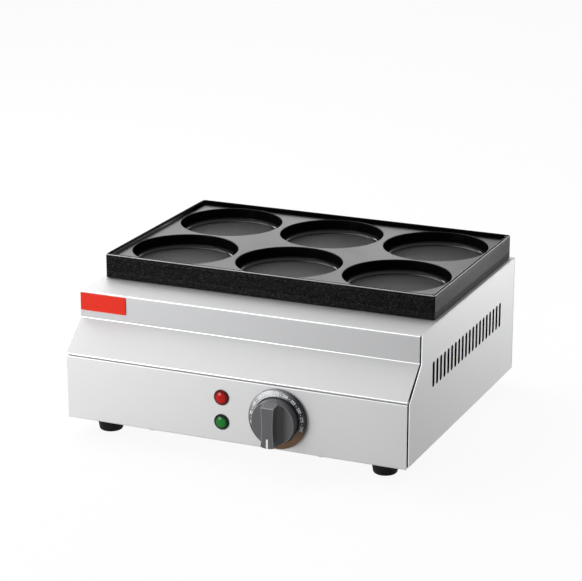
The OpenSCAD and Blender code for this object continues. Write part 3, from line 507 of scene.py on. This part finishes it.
def on_pan(p):
    """On the upright corners of the pan and along its rim at the front and the right, where a highlight
    is painted.
    """
    front = p.y < PAN_Y - PAN_HALF_DEPTH + RIM_WIDTH + NEAR
    right = p.x > PAN_HALF_WIDTH - RIM_WIDTH - NEAR
    return (front or right) and p.z > DECK_Z - NEAR or at_pan_corner(p)


def on_knob_front(p):
    """On the front of the knob, but not around its pointer or where the grip's end meets the rim: where
    a highlight is painted.
    """
    x, z = abs(p.x - KNOB_X), p.z - KNOB_Z
    by_pointer = x <= POINTER_HALF and z <= 0
    at_grip_end = x < GRIP_HALF and z > GRIP_END
    return p.y < KNOB_DISC_Y + NEAR and not by_pointer and not at_grip_end


for node in ("top_cover", "control_panel", "rear_panel", "base_plate"):
    sheet = finished(node, width=0.2, where=at_side)
    # Painted shade on the inner faces
    stain(sheet, steel_inside_painted_shade, faces_in)
for node in ("left_side_panel", "right_side_panel"):
    # Their rounded outline edges get the polished tone, a painted highlight
    panel = finished(node, width=0.5, material=steel_along, edge=steel_edge_painted_highlight, where=on_side_outline)
    # Painted shade on the inner faces
    stain(panel, steel_inside_painted_shade, faces_in)
    # Painted shade on the walls of the vent slots
    stain(panel, steel_vent_painted_shade, in_vent)
# The rounded front and right rim edges and the upright corners of the pan get a painted highlight
finished("griddle_pan", width=0.6, segments=3, edge=coat_painted_highlight, where=on_pan)
finished("name_badge", width=0.3)
# The knob's rounded front edges get a painted highlight
finished("control_knob", width=0.5, segments=3, body="knob", edge=knob_painted_highlight, where=on_knob_front)
finished("dial_ring", width=0.25)
for foot in ("front_left_foot", "front_right_foot", "rear_left_foot", "rear_right_foot"):
    finished(foot, width=0.3)


# Lamp lenses: low clear domes with a short upright edge

def lamp_dome(node, z, rings=10):
    """A dome of flat rings, each inset from the one below and raised to lie on a sphere."""
    deselect_all()
    bpy.ops.mesh.primitive_cylinder_add(vertices=64, radius=LENS_R * MM, depth=LENS_EDGE * MM)
    piece = bpy.context.object
    bpy.ops.object.mode_set(mode="EDIT")
    bpy.ops.mesh.select_mode(type="FACE")
    bpy.ops.mesh.select_all(action="DESELECT")
    bpy.ops.object.mode_set(mode="OBJECT")
    for face in piece.data.polygons:
        face.select = face.normal.z > 0.9
    bpy.ops.object.mode_set(mode="EDIT")
    rise = LENS_H - LENS_EDGE
    ball = (LENS_R ** 2 + rise ** 2) / (2 * rise)
    tilts = [math.asin(LENS_R / ball) * (1 - i / rings) for i in range(rings)]
    for low, high in zip(tilts, tilts[1:]):
        inward = ball * (math.sin(low) - math.sin(high)) * MM
        upward = ball * (math.cos(high) - math.cos(low)) * MM
        bpy.ops.mesh.inset(thickness=inward, depth=upward)
    bpy.ops.object.mode_set(mode="OBJECT")
    set_down(piece, (LAMP_X, PANEL_Y - LENS_EDGE / 2, z), UPRIGHT)
    bpy.ops.object.shade_smooth_by_angle(angle=SHARP)
    paint_with(piece, finish[slots[node]])
    hand_over(piece, node + "_dome", "cooker", slots[node], node)


lamp_dome("red_lamp_lens", RED_LAMP_Z)
lamp_dome("green_lamp_lens", GREEN_LAMP_Z)


# Dial scale: white numerals and dots on the cone of the dial ring

SCALE = range(50, 301, 25)
SCALE_START, SCALE_END, SCALE_R = 78, 282, 24.2
NUMERAL_H, DOT_D = 3.5, 1
TOP_MARK_R, TOP_MARK_D = 26.2, 0.9
PRINT_RISE, PRINT_H, STROKE = 0.03, 0.04, 0.12
TOP = 180


def lay_on_dial(piece, turn, radius):
    """Lays a flat piece on the cone of the ring, at an angle turned clockwise from the bottom."""
    angle = math.radians(turn)
    lean = math.atan2(RING_OUT[1] - RING_IN[1], RING_OUT[0] - RING_IN[0])
    y = RING_IN[1] + (radius - RING_IN[0]) * math.tan(lean) - PRINT_RISE
    spot = (KNOB_X - radius * math.sin(angle), y, KNOB_Z - radius * math.cos(angle))
    around = Matrix.Rotation(angle - math.pi, 4, "Y")
    tilt = Matrix.Rotation(-lean, 4, "X")
    set_down(piece, spot, around @ tilt @ UPRIGHT)


def numeral(text, turn):
    deselect_all()
    bpy.ops.object.text_add()
    piece = bpy.context.object
    piece.data.body = text
    piece.data.size = NUMERAL_H * MM
    piece.data.extrude = PRINT_H / 2 * MM
    piece.data.offset = STROKE * MM
    piece.data.align_x = "CENTER"
    piece.data.align_y = "CENTER"
    bpy.ops.object.convert(target="MESH")
    lay_on_dial(piece, turn, SCALE_R)
    return piece


def dot(turn, radius, across):
    deselect_all()
    bpy.ops.mesh.primitive_cylinder_add(vertices=16, radius=across / 2 * MM, depth=PRINT_H * MM)
    piece = bpy.context.object
    lay_on_dial(piece, turn, radius)
    return piece


marks = []
pitch = (SCALE_END - SCALE_START) / (len(SCALE) - 1)
for i, number in enumerate(SCALE):
    turn = SCALE_START + pitch * i
    marks.append(numeral(str(number), turn))
    if i:
        marks.append(dot(turn - pitch / 2, SCALE_R, DOT_D))
marks.append(dot(TOP, TOP_MARK_R, TOP_MARK_D))
deselect_all()
for mark in marks:
    mark.select_set(True)
bpy.context.view_layer.objects.active = marks[0]
bpy.ops.object.join()
paint_with(marks[0], finish["pointer_white"])
hand_over(marks[0], "dial_scale", "cooker", "pointer_white")


# Floor, world, lamps and camera, in metres

FLOOR_SIZE = 14
LAMP_AIM = Vector((0, 0, 0.08))


def seen_rays(tree):
    """1 for the rays that show a background: straight from the camera, off gloss or through glass."""
    path = tree.nodes.new("ShaderNodeLightPath")
    straight, gloss, through = [
        Value(tree, path.outputs[name])
        for name in ("Is Camera Ray", "Is Glossy Ray", "Is Transmission Ray")
    ]
    return straight + gloss + through


def lay_floor():
    """A floor that shows white, keeps a trace of the shadow and bounces less light at the right."""
    deselect_all()
    bpy.ops.mesh.primitive_plane_add(size=FLOOR_SIZE)
    floor = bpy.context.object
    floor.name = "floor"
    paint = Paint("floor_white", grey(0.9), Roughness=0.9, Specular_IOR_Level=0.0)
    seen = seen_rays(paint.tree)
    shown = paint.noise(60).blend(grey(0.88), grey(0.92))
    bounced = paint.along(0).ramp(-0.3, 0.35).blend(grey(0.8), grey(0.14))
    paint.set(Base_Color=seen.blend(bounced, shown))
    white = seen.make("ShaderNodeEmission", None, {"Color": grey(1), "Strength": 1.0})
    shaded = Value(paint.tree, paint.shader.outputs["BSDF"])
    mixed = seen.make("ShaderNodeMixShader", None, {0: seen * 0.92, 1: shaded, 2: white})
    paint.tree.links.new(mixed.socket, paint.tree.nodes["Material Output"].inputs["Surface"])
    floor.data.materials.append(paint.material)


def light_world():
    """A world that shows white and lights the object from the left and the rear."""
    world = bpy.data.worlds.new("studio")
    bpy.context.scene.world = world
    world.use_nodes = True
    tree = world.node_tree
    way = Value(tree, tree.nodes.new("ShaderNodeTexCoord").outputs["Generated"])
    left_rear = (-0.6, 0.7, 0.38)
    sockets = {0: way, 1: left_rear}
    side = way.make("ShaderNodeVectorMath", {"operation": "DOT_PRODUCT"}, sockets, out=1)
    lit = side.ramp(-0.9, 0.7).blend((0.05, 0.05, 0.051), grey(0.6))
    background = tree.nodes["Background"]
    plug(tree, background.inputs["Color"], seen_rays(tree).blend(lit, grey(1)))
    plug(tree, background.inputs["Strength"], 1.0)


def place_lamp(name, spot, size, power):
    """An area lamp of a size in metres and a power in watts, aimed at the middle of the object."""
    data = bpy.data.lights.new(name, "AREA")
    data.shape = "RECTANGLE"
    data.size, data.size_y = size
    data.energy = power
    lamp = bpy.data.objects.new(name, data)
    bpy.context.scene.collection.objects.link(lamp)
    lamp.location = spot
    aim = LAMP_AIM - lamp.location
    lamp.rotation_euler = aim.to_track_quat("-Z", "Y").to_euler()


def place_camera():
    """The camera at the photograph's viewing angle, fitted to the corners of the casing and the pan."""
    azimuth, elevation, reach = math.radians(23.5044), math.radians(17.4193), 2.079
    target = Vector((1.9144, -17.3694, 121.65)) * MM
    away = Vector((
        math.sin(azimuth) * math.cos(elevation),
        -math.cos(azimuth) * math.cos(elevation),
        math.sin(elevation),
    ))
    data = bpy.data.cameras.new("camera")
    data.lens = 139.3226
    data.sensor_width = 36
    data.clip_end = 50
    camera = bpy.data.objects.new("camera", data)
    bpy.context.scene.collection.objects.link(camera)
    camera.location = target + away * reach
    camera.rotation_euler = away.to_track_quat("Z", "Y").to_euler()
    bpy.context.scene.camera = camera


lay_floor()
light_world()
place_lamp("key_left", (-0.66, -1.12, 0.22), (0.5, 0.4), 7.0)
place_lamp("softbox_top", (-0.65, 0.35, 1.2), (0.8, 0.8), 8.5)
place_lamp("spark", (-1.54, -1.1, 1.13), (0.16, 0.16), 1.6)
place_lamp("strip_front", (-0.84, -1.58, 1.36), (2.4, 0.16), 2.8)
place_lamp("softbox_back", (-1.15, 1.9, 0.85), (1.3, 0.6), 3.4)
place_lamp("softbox_left", (-0.9, -0.1, 0.9), (0.6, 0.6), 1.8)
place_lamp("glint_right", (0.57, 1.75, 0.81), (0.3, 0.3), 1.6)
place_lamp("glint_left", (-1.5, 0.6, 0.78), (0.4, 0.3), 4.0)
place_lamp("softbox_side", (0.45, 0.3, 0.06), (0.4, 0.1), 0.66)
place_camera()
bpy.context.scene.view_settings.view_transform = "Standard"
